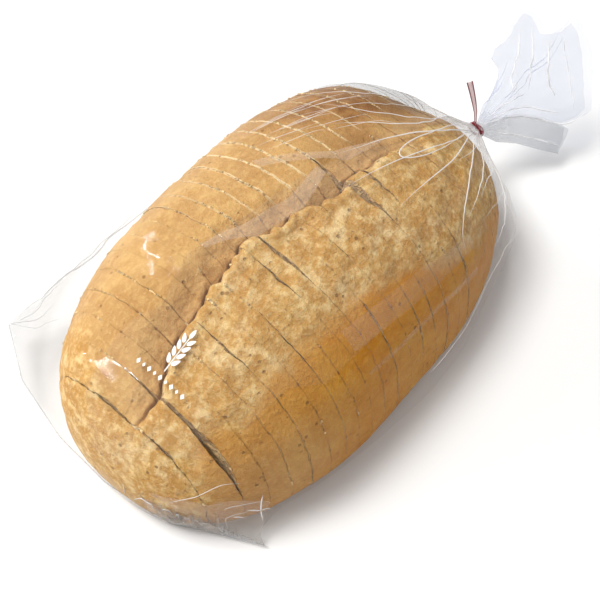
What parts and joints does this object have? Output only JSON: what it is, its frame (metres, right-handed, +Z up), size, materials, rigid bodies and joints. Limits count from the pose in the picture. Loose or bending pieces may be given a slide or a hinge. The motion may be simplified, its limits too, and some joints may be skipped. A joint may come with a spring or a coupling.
{
  "type": "sliced loaf in bread bag",
  "caption": "Sliced oval loaf with a split crown in a clear bread bag, gathered at one end by a twist tie with the mouth flared out.",
  "frame": {"origin": "centre of the loaf's flat base, on the surface that it lies on", "axes": "+X along the loaf towards the twist tie and the bag's mouth, +Y to its left with the loose film corner, +Z up"},
  "size_m": [0.3955, 0.2125, 0.1159],
  "materials": {
    "crust_under_film": "golden floury crust seen through clear glossy film",
    "tie": "thin glossy film strip over wire, pink with red edges"
  },
  "bodies": {
    "root": {"bagged_loaf": "crust_under_film", "twist_tie": "tie"}
  },
  "joints": []
}
